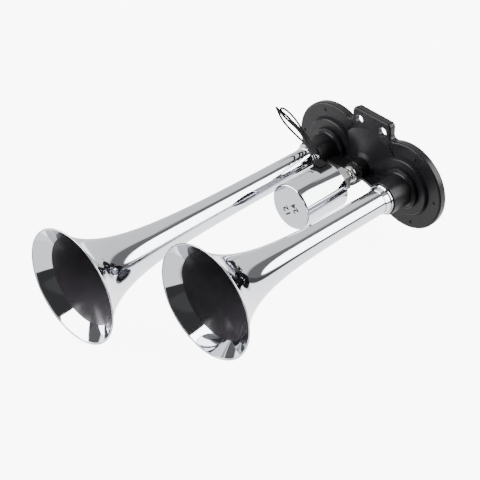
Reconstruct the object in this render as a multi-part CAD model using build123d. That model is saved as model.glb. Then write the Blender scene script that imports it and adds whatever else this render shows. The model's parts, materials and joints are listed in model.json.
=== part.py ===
"""Twin-trumpet air horn with a solenoid valve, for a 12 or 24 volt vehicle.

Two chromed trumpets of unequal length stand side by side on one moulded housing. Each ends over
a steel diaphragm that is clamped between the housing and its rear cover. Compressed air comes in
at the back through a hose spigot, and a plunger in the chromed solenoid between the trumpets
opens its seat. Air then runs left and right through drilled passages to the two diaphragms.

Working frame of every shape below: x across the pair, y up, z from the housing towards the bells,
with y = 0 on the trumpet axes and z = 0 a datum just behind the housing's front face. place() sets
a shape into the part's own frame: X across, Y to the rear, Z up, with the origin midway between
the two mounting holes, on the plane of the cover's back face. Sizes are in millimetres.
"""

import os
from math import cos, exp, pi, radians, sin, sqrt

from build123d import *

os.makedirs("parts", exist_ok=True)

# ---------------------------------------------------------------- driving dimensions
# trumpets
AXIS_SPACING = 92.2          # between the two trumpet axes
BELL_RADIUS = 55.0           # mouth of either bell
LONG_MOUTH_Z = 321.7         # mouth plane of the low-note trumpet
SHORT_MOUTH_Z = 252.1        # mouth plane of the high-note trumpet
TUBE_RADIUS = 11.7           # outside of a trumpet's straight end
TRUMPET_WALL = 1.0
BEAD_RADIUS = 1.3            # rolled edge round a mouth
LONG_FLARE = (0.258, 18.8, 50.5)    # share of the quick flare, its length and the slow one's
SHORT_FLARE = (0.155, 24.4, 40.9)

# housing and cover
RIM_RADIUS = 43.8            # outside of a diaphragm chamber
FACE_Z = 0.5                 # front face of the housing's plate
SEAM_Z = -4.0                # where housing and cover meet
BACK_Z = -8.0                # back face, against the vehicle
RIM_ROUND = 2.0              # round on the front edge of the plate
SEAM_GROOVE = 0.5            # set-in of the cover's edge at the seam
STEP_RADIUS = 29.0           # raised middle of a chamber
STEP_TOP_Z = 4.0
BOSS_RADIUS = 20.4           # boss round the socket's foot
BOSS_TOP_Z = 8.0
SOCKET_RADIUS = 16.4         # socket that holds a trumpet
SOCKET_TOP_Z = 31.0
DRAFT = 0.5                  # how much a moulded wall leans in over its height

# mounting tab
TAB_HALF_WIDTH = 23.6
TAB_TOP_Y = 55.5
BRIDGE_DEPTH = 11.0          # how far the tab's foot reaches below the trumpet axes
BRIDGE_HALF_WIDTH = 3.7      # least half width of the bridge there
TAB_CORNER = 5.0
SHOULDER_ROUND = 4.0         # hollow rounds where the tab meets the chambers
FOOT_ROUND = 2.0             # and under the bridge
HOLE_X = 14.7                # half the hole spacing
HOLE_Y = 44.6
HOLE_RADIUS = 4.6
POCKET_SIDE = 1.2            # walls of the cover's pocket behind the holes, beside it
POCKET_TOP = 2.5             # and above it
POCKET_DROP = 11.6           # how far the pocket reaches below the holes
POCKET_CORNER = 4.0
EDGE = 0.5                   # chamfer on small turned and moulded edges

# middle of the housing
PORT_Y = 2.0                 # height of the solenoid's axis
PORT_RADIUS = 10.0
PORT_TOP_Z = 20.0
CONE_RADIUS = 36.5           # foot of the shallow cone round the port
CONE_TOP_RADIUS = 13.5
CONE_TOP_Z = 6.5
CONE_CROWN = 2.0             # how much further the cone climbs to meet the port
WEB_HALF_FLAT = 22.0         # flat middle of the web between the sockets
WEB_THICKNESS = 2.6
WEB_TOP_Y = 0.0
WEB_MEET_ANGLE = 112.0       # where the web runs into a socket, round from +x
WEB_FRONT_Z = 19.3           # front edge at the middle
WEB_ARCH = 86.0              # radius of that edge in plan
WEB_ROOT = 8.0               # hollow round between plate and web
RIB_ANGLE = 57.0             # radial ridge on a chamber's face
RIB_WIDTH = 1.2
RIB_HEIGHT = 0.6
PAD_DISC_X = 14.2            # ejector pads beside the port
PAD_DISC_Y = 8.0
PAD_DISC_Z = 5.4
PAD_DISC_RADIUS = 2.0

# inside a chamber
WALL = 2.5
SEAT_RADIUS = 10.5           # ring that the diaphragm beats on
THROAT_RADIUS = 8.0
CHAMBER_RADIUS = 31.0
DIAPHRAGM_RADIUS = 34.0
DIAPHRAGM_THICKNESS = 0.4
GASKET_THICKNESS = 0.8
SEAL_THICKNESS = 2.0
SEAL_SEAT_Z = 10.0           # shoulder at the bottom of a socket
SLIP = 0.05                  # clearance of a push fit

# ferrule nut that holds a trumpet
NUT_RADIUS = 14.6
NUT_FLANGE = 2.2
NUT_NOSE = 5.0               # tapered nose in front of the flange
NUT_SPIGOT = 14.0

# cover screws
SCREW_CIRCLE = 36.5
SCREWS_PER_SIDE = 5
SCREW_RADIUS = 1.4
SCREW_HEAD_RADIUS = 3.0
SCREW_HEAD = 1.8
SCREW_LENGTH = 7.0
DIMPLE_RADIUS = 1.7
DIMPLE_DEPTH = 0.7

# air path
INLET_RADIUS = 4.0           # hose spigot on the back
INLET_BORE = 2.5
INLET_LENGTH = 14.0
INLET_THREAD_RADIUS = 5.0
INLET_FLANGE_RADIUS = 8.0
INLET_FLANGE = 3.0
INLET_SINK = 1.0             # how deep its flange sits in the cover
INLET_SEAL = 0.8
PASSAGE_RADIUS = 1.8
PASSAGE_Z = 0.2
SEAT_TOP_Z = 5.0             # the valve seat inside the port
SEAT_RIM_RADIUS = 3.6
PORT_BORE = 7.0
PORT_FLOOR_Z = -1.5
PORT_STEP = 4.0              # height of the port's chamber above the valve seat

# solenoid
CAN_RADIUS = 22.6
CAN_BACK_Z = 51.5
CAN_FRONT_Z = 104.0
CAN_WALL = 1.0
CAN_ROUND = 2.0
YOKE_THICKNESS = 3.0
HEX_FLATS = 21.5
HEX_TURN = 35.0              # one corner of the hexagon, round from +x
HEX_BACK_Z = 35.5
HEX_FRONT_Z = 46.0
NECK_RADIUS = 6.6
RIDGES = 2                   # rounded ridges on the neck
RIDGE_RADIUS = 7.9
RIDGE_PITCH = 5.8
RIDGE_GAP = 0.24             # neck left bare between two ridges
SEAL_RING = 2.0              # thickness of the washer between port and valve
SEAL_LIP = 0.8               # and how far it stands out beyond the ridges
HEX_CHAMFER = 0.9            # on the hexagon's corners, along the axis
HEX_CHAMFER_IN = 1.5         # and across it
HEX_COLLAR = 2.5             # wall of the collar between hexagon and can
GUIDE_WALL = 0.6
PLUNGER_RADIUS = 4.93
RUNNING = 0.07               # clearance round the plunger
PLUNGER_TRAVEL = 2.0
CORE_GAP = 0.2               # left open in front of the plunger when it is drawn in
PLUNGER_LENGTH = 66.0
PAD_THICKNESS = 2.0
PAD_RADIUS = 4.2
SPRING_RADIUS = 2.9
SPRING_WIRE = 0.7
SPRING_TURNS = 5
SPRING_POCKET = 9.0
BOBBIN_WALL = 1.2
BOBBIN_FLANGE = 1.5
COIL_CLEARANCE = 1.0

# lead block and leads
BLOCK = (9.0, 3.0, 9.0)      # across, up and along the can
BLOCK_X = -6.5
BLOCK_BACK_Z = 55.5
SADDLE = (-11.0, 3.1)        # the thin foot plate under it, from left to right
SADDLE_THICKNESS = 1.2
SADDLE_BACK_Z = 53.5
SADDLE_FRONT_Z = 68.0
STUB_RADIUS = 2.0
LEAD_DIAMETER = 2.0


# ---------------------------------------------------------------- helpers
HORN = Plane(origin=(0, BACK_Z, -HOLE_Y), x_dir=(1, 0, 0), z_dir=(0, -1, 0))
SIDES = {"long": -AXIS_SPACING / 2, "short": AXIS_SPACING / 2}


def place(shape):
    """Working frame to the part's own frame."""
    return HORN.location * shape


def save(name, *shapes):
    solids = [place(one) for one in shapes]
    whole = solids[0] if len(solids) == 1 else Compound(children=solids)
    export_step(whole, f"parts/{name}.step")
    return whole


def turned(points, x=0.0, y=0.0):
    """A solid turned about the z axis through (x, y) from (radius, z) corners."""
    face = Plane.XZ * make_face(Polyline(*points, close=True))
    return Pos(x, y, 0) * revolve(face, Axis.Z)


def rod(radius, low_z, high_z, x=0.0, y=0.0):
    return Pos(x, y, (low_z + high_z) / 2) * Cylinder(radius, high_z - low_z)


def tube(outer, inner, low_z, high_z, x=0.0, y=0.0):
    return rod(outer, low_z, high_z, x, y) - rod(inner, low_z - 1, high_z + 1, x, y)


# ---------------------------------------------------------------- trumpets
def horn_radius(z, mouth_z, flare):
    """Outside radius of a trumpet: two exponential flares added to a straight tube."""
    share, quick, slow = flare
    back = z - mouth_z
    growth = share * exp(back / quick) + (1 - share) * exp(back / slow)
    return TUBE_RADIUS + (BELL_RADIUS - TUBE_RADIUS) * growth


def horn_slope(z, mouth_z, flare):
    share, quick, slow = flare
    back = z - mouth_z
    growth = share / quick * exp(back / quick) + (1 - share) / slow * exp(back / slow)
    return (BELL_RADIUS - TUBE_RADIUS) * growth


ROOT_Z = SEAL_SEAT_Z + SEAL_THICKNESS            # rear end of a trumpet
ROOT_FLANGE = 1.5
NUT_NOSE_Z = SOCKET_TOP_Z + NUT_FLANGE + NUT_NOSE


def trumpet(x, mouth_z, flare):
    """Seamless spun trumpet, open right through, with a flange at its root."""
    straight_z = NUT_NOSE_Z + 2.0
    steps = [0, 6, 14, 25, 40, 60, 90, 130, 180]
    stations = [mouth_z - step for step in steps] + [straight_z]
    outer = [(horn_radius(z, mouth_z, flare), z) for z in stations]
    inner = []
    for radius, z in outer:
        lean = sqrt(1 + horn_slope(z, mouth_z, flare) ** 2)
        inner.append((radius - TRUMPET_WALL * lean, z))
    flange_radius = NUT_SPIGOT - 0.4
    flange_z = ROOT_Z + ROOT_FLANGE
    outer[-1] = (TUBE_RADIUS, straight_z)
    inner[-1] = (TUBE_RADIUS - TRUMPET_WALL, straight_z)
    bore = TUBE_RADIUS - TRUMPET_WALL
    edges = [
        Spline(*outer),
        Polyline(outer[-1], (TUBE_RADIUS, flange_z), (flange_radius, flange_z),
                 (flange_radius, ROOT_Z), (bore, ROOT_Z), inner[-1]),
        Spline(*reversed(inner)),
        Line(inner[0], outer[0]),
    ]
    wall = revolve(Plane.XZ * make_face(edges), Axis.Z)
    bead = Pos(0, 0, mouth_z - BEAD_RADIUS) * Torus(BELL_RADIUS - BEAD_RADIUS, BEAD_RADIUS)
    return Pos(x, 0, 0) * (wall + bead)


def ferrule_nut(x):
    """Flanged nut with a tapered nose: its spigot screws into the socket over the root flange."""
    bore = TUBE_RADIUS + 0.15
    spigot = NUT_SPIGOT - SLIP
    low_z = ROOT_Z + ROOT_FLANGE
    flange_z = SOCKET_TOP_Z + NUT_FLANGE
    return turned(
        [(bore, low_z), (spigot, low_z), (spigot, SOCKET_TOP_Z),
         (NUT_RADIUS - EDGE, SOCKET_TOP_Z), (NUT_RADIUS, SOCKET_TOP_Z + EDGE),
         (NUT_RADIUS, flange_z - 0.7), (NUT_RADIUS - 0.7, flange_z),
         (NUT_RADIUS - 1.3, flange_z), (bore + 0.6, NUT_NOSE_Z), (bore, NUT_NOSE_Z)],
        x,
    )


# ---------------------------------------------------------------- housing and cover
def foot_y():
    """Foot of the tab, low enough to leave a bridge between the two rims."""
    clear = AXIS_SPACING / 2 - BRIDGE_HALF_WIDTH
    return -sqrt(max(BRIDGE_DEPTH ** 2, RIM_RADIUS ** 2 - clear ** 2))


def plate_outline(inset=0.0):
    """Both chambers, the tab and the bridge between them, as one face."""
    discs = Pos(-AXIS_SPACING / 2, 0) * Circle(RIM_RADIUS - inset)
    discs += Pos(AXIS_SPACING / 2, 0) * Circle(RIM_RADIUS - inset)
    top = TAB_TOP_Y - inset
    foot = foot_y() + inset
    width = 2 * (TAB_HALF_WIDTH - inset)
    tab = Pos(0, (top + foot) / 2) * Rectangle(width, top - foot)
    corners = tab.vertices().sort_by(Axis.Y)[-2:]
    tab = fillet(corners, TAB_CORNER - inset)
    outline = discs + tab
    beside = TAB_HALF_WIDTH - inset + SLIP
    shoulders = [v for v in outline.vertices() if abs(v.X) < beside and RIM_RADIUS > v.Y > 0]
    outline = fillet(shoulders, SHOULDER_ROUND + inset)
    feet = [v for v in outline.vertices() if abs(v.Y - foot) < SLIP]
    return fillet(feet, FOOT_ROUND + inset)


def screw_spots(side):
    """Centres of one chamber's cover screws, counted from its outboard side."""
    centre = SIDES[side]
    outward = 0.0 if centre > 0 else 180.0
    for number in range(SCREWS_PER_SIDE):
        angle = radians(outward + 360.0 / SCREWS_PER_SIDE * number)
        yield centre + SCREW_CIRCLE * cos(angle), SCREW_CIRCLE * sin(angle)


def chamber_body(x):
    """Raised middle, boss and socket of one chamber."""
    return turned(
        [(0, SEAM_Z), (STEP_RADIUS + 0.8, SEAM_Z), (STEP_RADIUS + 0.8, FACE_Z),
         (STEP_RADIUS - 0.9, STEP_TOP_Z - EDGE), (STEP_RADIUS - 1.5, STEP_TOP_Z),
         (BOSS_RADIUS, STEP_TOP_Z), (BOSS_RADIUS - 0.5, BOSS_TOP_Z - 0.4),
         (BOSS_RADIUS - 0.9, BOSS_TOP_Z), (SOCKET_RADIUS + 1.2, BOSS_TOP_Z),
         (SOCKET_RADIUS, BOSS_TOP_Z + 1.2), (SOCKET_RADIUS - DRAFT, SOCKET_TOP_Z - EDGE),
         (SOCKET_RADIUS - DRAFT - EDGE, SOCKET_TOP_Z), (0, SOCKET_TOP_Z)],
        x,
    )


def port_body():
    """Shallow cone over the air passages, with the valve port standing on it."""
    cone = turned(
        [(0, SEAM_Z), (CONE_RADIUS, SEAM_Z), (CONE_RADIUS, FACE_Z),
         (CONE_TOP_RADIUS, CONE_TOP_Z), (PORT_RADIUS, CONE_TOP_Z + CONE_CROWN),
         (0, CONE_TOP_Z + CONE_CROWN)],
        0, PORT_Y,
    )
    neck = turned(
        [(0, CONE_TOP_Z), (PORT_RADIUS, CONE_TOP_Z), (PORT_RADIUS - 0.3, PORT_TOP_Z - 0.6),
         (PORT_RADIUS - 0.9, PORT_TOP_Z), (0, PORT_TOP_Z)],
        0, PORT_Y,
    )
    room = Pos(0, 0, SEAM_Z) * extrude(plate_outline(RIM_ROUND), PORT_TOP_Z - SEAM_Z)
    return (cone & room) + rod(PORT_RADIUS, SEAM_Z, CONE_TOP_Z, 0, PORT_Y) + neck


def web():
    """Thin web that ties the sockets to the port, hollow above and arched in plan."""
    half = AXIS_SPACING / 2
    angle = radians(WEB_MEET_ANGLE)
    meet_x = half + SOCKET_RADIUS * cos(angle)
    meet_y = SOCKET_RADIUS * sin(angle)
    rise_x = (WEB_HALF_FLAT + meet_x) / 2 + 2.0
    rise_y = WEB_TOP_Y + 0.30 * (meet_y - WEB_TOP_Y)
    low_y = WEB_TOP_Y - WEB_THICKNESS
    top_right = ThreePointArc((WEB_HALF_FLAT, WEB_TOP_Y), (rise_x, rise_y), (meet_x, meet_y))
    top_left = ThreePointArc((-meet_x, meet_y), (-rise_x, rise_y), (-WEB_HALF_FLAT, WEB_TOP_Y))
    profile = [
        Line((-WEB_HALF_FLAT, WEB_TOP_Y), (WEB_HALF_FLAT, WEB_TOP_Y)),
        top_right,
        Polyline((meet_x, meet_y), (half, 0), (half, low_y), (-half, low_y), (-half, 0),
                 (-meet_x, meet_y)),
        top_left,
    ]
    depth = SOCKET_TOP_Z - 1.0 - SEAM_Z
    sheet = Pos(0, 0, SEAM_Z) * extrude(make_face(profile), depth)
    arch = Pos(0, 0, WEB_FRONT_Z + WEB_ARCH) * Rot(90, 0, 0) * Cylinder(WEB_ARCH, 4 * TAB_TOP_Y)
    deep = WEB_ROOT * (1 - sqrt(0.5))
    root = [
        Line((WEB_TOP_Y, FACE_Z), (WEB_TOP_Y + WEB_ROOT, FACE_Z)),
        ThreePointArc((WEB_TOP_Y + WEB_ROOT, FACE_Z), (WEB_TOP_Y + deep, FACE_Z + deep),
                      (WEB_TOP_Y, FACE_Z + WEB_ROOT)),
        Line((WEB_TOP_Y, FACE_Z + WEB_ROOT), (WEB_TOP_Y, FACE_Z)),
    ]
    gusset = extrude(Plane.YZ * make_face(root), half - SOCKET_RADIUS, both=True)
    return sheet - arch + gusset


def rib(x):
    """Low radial ridge from the raised middle of a chamber to its rim, beside the tab."""
    inward = 1 if x < 0 else -1
    length = RIM_RADIUS - RIM_ROUND / 2 - STEP_RADIUS + 1.0
    bar = Pos(STEP_RADIUS - 1.0 + length / 2, 0, FACE_Z) * Box(length, RIB_WIDTH, 2 * RIB_HEIGHT)
    angle = RIB_ANGLE if inward > 0 else 180 - RIB_ANGLE
    return Pos(x, 0, 0) * Rot(0, 0, angle) * bar


def pad(x):
    """Small round ejector pad on the cone, one on each side of the port."""
    side = 1 if x > 0 else -1
    low_z = FACE_Z + 1.0
    return rod(PAD_DISC_RADIUS, low_z, PAD_DISC_Z, side * PAD_DISC_X, PAD_DISC_Y)


def front_housing():
    plate = Pos(0, 0, SEAM_Z) * extrude(plate_outline(), FACE_Z - SEAM_Z)
    rim = plate.faces().sort_by(Axis.Z)[-1].outer_wire().edges()
    plate = fillet(rim, RIM_ROUND)
    body = plate + port_body()
    for x in SIDES.values():
        body += chamber_body(x)
        body += rib(x)
        body += pad(x)
    body += web()
    for x in SIDES.values():
        body -= rod(NUT_SPIGOT, SEAL_SEAT_Z, SOCKET_TOP_Z + 1, x)
        body -= rod(THROAT_RADIUS, SEAM_Z - 1, SOCKET_TOP_Z, x)
        diaphragm_z = SEAM_Z + DIAPHRAGM_THICKNESS
        body -= rod(DIAPHRAGM_RADIUS + SLIP, SEAM_Z - 1, diaphragm_z, x)
        cavity = turned(
            [(SEAT_RADIUS, SEAM_Z - 1), (CHAMBER_RADIUS, SEAM_Z - 1),
             (CHAMBER_RADIUS, FACE_Z - WALL), (STEP_RADIUS - WALL, FACE_Z - WALL),
             (STEP_RADIUS - WALL, STEP_TOP_Z - WALL), (BOSS_RADIUS - WALL, STEP_TOP_Z - WALL),
             (BOSS_RADIUS - WALL, BOSS_TOP_Z - WALL), (SEAT_RADIUS, BOSS_TOP_Z - WALL)],
            x,
        )
        body -= cavity
    # valve port: thread, chamber round the seat, and the seat itself
    body -= rod(NECK_RADIUS + SLIP, SEAT_TOP_Z, PORT_TOP_Z + 1, 0, PORT_Y)
    body -= tube(PORT_BORE, SEAT_RIM_RADIUS, PORT_FLOOR_Z, SEAT_TOP_Z + PORT_STEP, 0, PORT_Y)
    body -= rod(INLET_BORE, SEAM_Z - 1, SEAT_TOP_Z + 1, 0, PORT_Y)
    body -= rod(PORT_BORE, SEAT_TOP_Z, SEAT_TOP_Z + PORT_STEP, 0, PORT_Y)
    body -= rod(INLET_THREAD_RADIUS, SEAM_Z - 1, SEAM_Z + INLET_SEAL, 0, PORT_Y)
    reach = AXIS_SPACING / 2 - STEP_RADIUS + WALL + 1
    passage = Cylinder(PASSAGE_RADIUS, reach - SEAT_RIM_RADIUS)
    for side in (-1, 1):
        middle = side * (reach + SEAT_RIM_RADIUS) / 2
        body -= Pos(middle, PORT_Y, PASSAGE_Z) * Rot(0, 90, 0) * passage
    for x in (-HOLE_X, HOLE_X):
        body -= rod(HOLE_RADIUS, SEAM_Z - 1, FACE_Z + 1, x, HOLE_Y)
    for side in SIDES:
        for x, y in screw_spots(side):
            body -= rod(SCREW_RADIUS, SEAM_Z - 1, BACK_Z + SCREW_LENGTH, x, y)
            body -= rod(DIMPLE_RADIUS, FACE_Z - DIMPLE_DEPTH, FACE_Z + 1, x, y)
    return body


def bracket_pocket():
    """Pocket in the cover's tab, which lets a bracket's end reach the housing."""
    half = TAB_HALF_WIDTH - SEAM_GROOVE - POCKET_SIDE
    top = TAB_TOP_Y - SEAM_GROOVE - POCKET_TOP
    foot = HOLE_Y - POCKET_DROP
    outline = RectangleRounded(2 * half, top - foot, POCKET_CORNER)
    return Pos(0, (top + foot) / 2, BACK_Z - 1) * extrude(outline, SEAM_Z - BACK_Z + 2)


def rear_cover():
    cover = Pos(0, 0, BACK_Z) * extrude(plate_outline(SEAM_GROOVE), SEAM_Z - BACK_Z)
    edge = cover.faces().sort_by(Axis.Z)[0].outer_wire().edges()
    cover = fillet(edge, 0.8)
    for x in SIDES.values():
        cover -= rod(CHAMBER_RADIUS, BACK_Z + WALL - 1.0, SEAM_Z + 1, x)
        cover -= rod(DIAPHRAGM_RADIUS + SLIP, SEAM_Z - GASKET_THICKNESS, SEAM_Z + 1, x)
    cover -= bracket_pocket()
    cover -= rod(INLET_THREAD_RADIUS, BACK_Z - 1, SEAM_Z + 1, 0, PORT_Y)
    cover -= rod(INLET_FLANGE_RADIUS + SLIP, BACK_Z - 1, BACK_Z + INLET_SINK, 0, PORT_Y)
    for side in SIDES:
        for x, y in screw_spots(side):
            cover -= rod(SCREW_RADIUS + 0.1, BACK_Z - 1, SEAM_Z + 1, x, y)
            cover -= rod(SCREW_HEAD_RADIUS + 0.1, BACK_Z - 1, BACK_Z + SCREW_HEAD, x, y)
    return cover


def cover_screws():
    screws = []
    for side in SIDES:
        for x, y in screw_spots(side):
            screws.append(turned(
                [(0, BACK_Z), (SCREW_HEAD_RADIUS - 0.5, BACK_Z),
                 (SCREW_HEAD_RADIUS, BACK_Z + 0.6), (SCREW_HEAD_RADIUS, BACK_Z + SCREW_HEAD),
                 (SCREW_RADIUS, BACK_Z + SCREW_HEAD), (SCREW_RADIUS, BACK_Z + SCREW_LENGTH - 1),
                 (0, BACK_Z + SCREW_LENGTH)],
                x, y,
            ))
    return screws


def inlet_spigot():
    """Hose spigot on the back: thread, flange and a plain barrel with a chamfered end."""
    thread = INLET_THREAD_RADIUS - SLIP
    seat_z = BACK_Z + INLET_SINK
    flange_z = BACK_Z - INLET_FLANGE
    tip_z = flange_z - INLET_LENGTH
    return turned(
        [(INLET_BORE, SEAM_Z), (thread, SEAM_Z), (thread, seat_z),
         (INLET_FLANGE_RADIUS, seat_z), (INLET_FLANGE_RADIUS, flange_z + EDGE),
         (INLET_FLANGE_RADIUS - EDGE, flange_z), (INLET_RADIUS, flange_z),
         (INLET_RADIUS, tip_z + 0.8), (INLET_RADIUS - 0.6, tip_z), (INLET_BORE, tip_z)],
        0, PORT_Y,
    )


# ---------------------------------------------------------------- solenoid valve
GUIDE_RADIUS = PLUNGER_RADIUS + RUNNING
GUIDE_OUTER = GUIDE_RADIUS + GUIDE_WALL
YOKE_FRONT_Z = CAN_BACK_Z + YOKE_THICKNESS
GUIDE_BACK_Z = HEX_FRONT_Z - 2.0
PLUNGER_BACK_Z = SEAT_TOP_Z + PAD_THICKNESS / 2
PLUNGER_FRONT_Z = PLUNGER_BACK_Z + PLUNGER_LENGTH
CORE_BACK_Z = PLUNGER_FRONT_Z + PLUNGER_TRAVEL + CORE_GAP
CAN_ROOM_Z = CAN_FRONT_Z - CAN_WALL
COIL_RADIUS = CAN_RADIUS - CAN_WALL - COIL_CLEARANCE


def valve_body():
    """Neck that screws into the port, two rounded ridges, a hexagon and the coil's seat."""
    neck = rod(NECK_RADIUS, SEAT_TOP_Z + PORT_STEP, HEX_BACK_Z, 0, PORT_Y)
    for number in range(RIDGES):
        foot_z = PORT_TOP_Z + SEAL_RING + RIDGE_PITCH * number
        low, high = foot_z + RIDGE_GAP / 2, foot_z + RIDGE_PITCH - RIDGE_GAP / 2
        crown = [
            Line((0, low), (NECK_RADIUS, low)),
            ThreePointArc((NECK_RADIUS, low), (RIDGE_RADIUS, (low + high) / 2), (NECK_RADIUS, high)),
            Polyline((NECK_RADIUS, high), (0, high), (0, low)),
        ]
        neck += Pos(0, PORT_Y, 0) * revolve(Plane.XZ * make_face(crown), Axis.Z)
    corner = HEX_FLATS / 2 / cos(pi / 6)
    hexagon = Pos(0, PORT_Y, HEX_BACK_Z) * extrude(
        RegularPolygon(corner, 6, rotation=HEX_TURN), HEX_FRONT_Z - HEX_BACK_Z)
    cone = turned(
        [(0, HEX_BACK_Z), (corner - HEX_CHAMFER_IN, HEX_BACK_Z),
         (corner, HEX_BACK_Z + HEX_CHAMFER), (corner, HEX_FRONT_Z - HEX_CHAMFER),
         (corner - HEX_CHAMFER_IN, HEX_FRONT_Z), (0, HEX_FRONT_Z)],
        0, PORT_Y,
    )
    collar = rod(GUIDE_OUTER + HEX_COLLAR, HEX_FRONT_Z, CAN_BACK_Z, 0, PORT_Y)
    body = neck + (hexagon & cone) + collar
    body -= rod(GUIDE_RADIUS, 0, GUIDE_BACK_Z, 0, PORT_Y)
    body -= rod(GUIDE_OUTER, GUIDE_BACK_Z, CAN_BACK_Z + 1, 0, PORT_Y)
    return body


def port_seal():
    outer = RIDGE_RADIUS + SEAL_LIP
    return tube(outer, NECK_RADIUS + SLIP, PORT_TOP_Z, PORT_TOP_Z + SEAL_RING, 0, PORT_Y)


def plunger():
    body = turned(
        [(0, PLUNGER_BACK_Z), (PLUNGER_RADIUS - 0.4, PLUNGER_BACK_Z),
         (PLUNGER_RADIUS, PLUNGER_BACK_Z + 0.4), (PLUNGER_RADIUS, PLUNGER_FRONT_Z - 0.4),
         (PLUNGER_RADIUS - 0.4, PLUNGER_FRONT_Z), (0, PLUNGER_FRONT_Z)],
        0, PORT_Y,
    )
    body -= rod(PAD_RADIUS, PLUNGER_BACK_Z - 1, SEAT_TOP_Z + PAD_THICKNESS, 0, PORT_Y)
    pocket = SPRING_RADIUS + SPRING_WIRE / 2 + 0.2
    body -= rod(pocket, PLUNGER_FRONT_Z - SPRING_POCKET, PLUNGER_FRONT_Z + 1, 0, PORT_Y)
    return body


def plunger_spring():
    """Compression spring between the bottom of the plunger's pocket and the fixed core."""
    low_z = PLUNGER_FRONT_Z - SPRING_POCKET + SPRING_WIRE / 2
    length = SPRING_POCKET + PLUNGER_TRAVEL - SPRING_WIRE
    path = Helix(length / SPRING_TURNS, length, SPRING_RADIUS)
    start = Plane(origin=path @ 0, z_dir=path % 0)
    wire = sweep(start * Circle(SPRING_WIRE / 2 - 0.02), path=path)
    return Pos(0, PORT_Y, low_z) * wire


def solenoid_can():
    """Deep-drawn cup, open at the back where the yoke plate closes it."""
    can = rod(CAN_RADIUS, CAN_BACK_Z, CAN_FRONT_Z, 0, PORT_Y)
    can = fillet(can.edges().sort_by(Axis.Z)[-1], CAN_ROUND)
    can -= rod(CAN_RADIUS - CAN_WALL, CAN_BACK_Z - 1, CAN_ROOM_Z, 0, PORT_Y)
    return can - lead_hole(0.1)


def lead_hole(clearance=0.0):
    """Stub of the lead block that passes through the can to the coil."""
    x, z = BLOCK_X, BLOCK_BACK_Z + BLOCK[2] / 2
    low = PORT_Y + COIL_RADIUS - 0.6
    high = PORT_Y + CAN_RADIUS
    stub = Cylinder(STUB_RADIUS + clearance, high - low + 2 * clearance)
    return Pos(x, (low + high) / 2, z) * Rot(90, 0, 0) * stub


def bobbin():
    inner = GUIDE_OUTER + SLIP
    low_z, high_z = YOKE_FRONT_Z, CAN_ROOM_Z - 0.5
    spool = tube(inner + BOBBIN_WALL, inner, low_z, high_z, 0, PORT_Y)
    flange = CAN_RADIUS - CAN_WALL - 0.1
    spool += tube(flange, inner, low_z, low_z + BOBBIN_FLANGE, 0, PORT_Y)
    spool += tube(flange, inner, high_z - BOBBIN_FLANGE, high_z, 0, PORT_Y)
    return spool


def coil():
    inner = GUIDE_OUTER + SLIP + BOBBIN_WALL
    low_z = YOKE_FRONT_Z + BOBBIN_FLANGE
    high_z = CAN_ROOM_Z - 0.5 - BOBBIN_FLANGE
    return tube(COIL_RADIUS, inner, low_z, high_z, 0, PORT_Y) - lead_hole(0.05)


def lead_block():
    """Moulded block saddled on the can, where both leads come out."""
    across, up, along = BLOCK
    top = PORT_Y + CAN_RADIUS + up
    tall = 2 * up
    block = Pos(BLOCK_X, top - tall / 2, BLOCK_BACK_Z + along / 2) * Box(across, tall, along)
    block = fillet(block.faces().sort_by(Axis.Y)[-1].edges(), 0.8)
    left, right = SADDLE
    wide = right - left
    ring = tube(CAN_RADIUS + SADDLE_THICKNESS, CAN_RADIUS, SADDLE_BACK_Z, SADDLE_FRONT_Z, 0, PORT_Y)
    window = Pos(left + wide / 2, top, SADDLE_BACK_Z) * Box(wide, CAN_RADIUS, 4 * BLOCK[2])
    block += ring & window
    block -= rod(CAN_RADIUS, BLOCK_BACK_Z - 1, BLOCK_BACK_Z + along + 1, 0, PORT_Y)
    block += lead_hole() - rod(COIL_RADIUS - 0.5, 0, CAN_FRONT_Z, 0, PORT_Y)
    for route in (UPPER_LEAD, LOWER_LEAD):
        block -= lead_bore(route)
    return block


def lead_bore(route):
    """Snug hole in the block round the first straight of a lead."""
    start, end = Vector(*route[0]), Vector(*route[1])
    mouth = Plane(origin=start, z_dir=end - start)
    return extrude(mouth * Circle(LEAD_DIAMETER / 2 + SLIP), BLOCK[0])


# ---------------------------------------------------------------- leads
UPPER_LEAD = [
    (-9.8, 26.2, 59.0), (-24.0, 26.0, 50.0), (-41.5, 21.2, 38.5), (-54.5, 22.4, 33.0),
    (-65.0, 26.0, 31.0), (-74.0, 28.2, 30.1), (-80.5, 30.3, 30.0), (-84.0, 31.2, 30.0),
    (-87.3, 32.2, 30.0), (-87.9, 34.8, 29.9), (-85.9, 36.6, 29.7), (-82.0, 35.4, 29.3),
    (-77.0, 32.8, 28.7), (-69.0, 28.0, 28.0), (-60.5, 23.1, 29.0), (-48.0, 20.0, 32.0),
    (-34.5, 21.4, 39.6), (-22.0, 24.4, 48.0),
]
LOWER_LEAD = [
    (-9.8, 26.4, 61.8), (-25.0, 27.4, 52.6), (-42.0, 23.6, 41.5), (-56.0, 23.2, 35.2),
    (-66.0, 25.6, 33.3), (-75.0, 28.1, 32.6), (-82.0, 30.8, 32.5), (-87.0, 32.9, 32.4),
    (-90.0, 34.0, 32.4), (-91.0, 35.2, 34.6), (-88.6, 36.6, 36.8), (-84.8, 35.9, 37.4),
    (-78.8, 31.9, 37.5), (-71.4, 28.3, 38.0), (-62.3, 25.9, 39.0), (-52.4, 25.4, 41.5),
    (-38.5, 28.0, 47.5), (-24.6, 31.0, 55.5), (-16.0, 31.3, 60.5),
]


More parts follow.
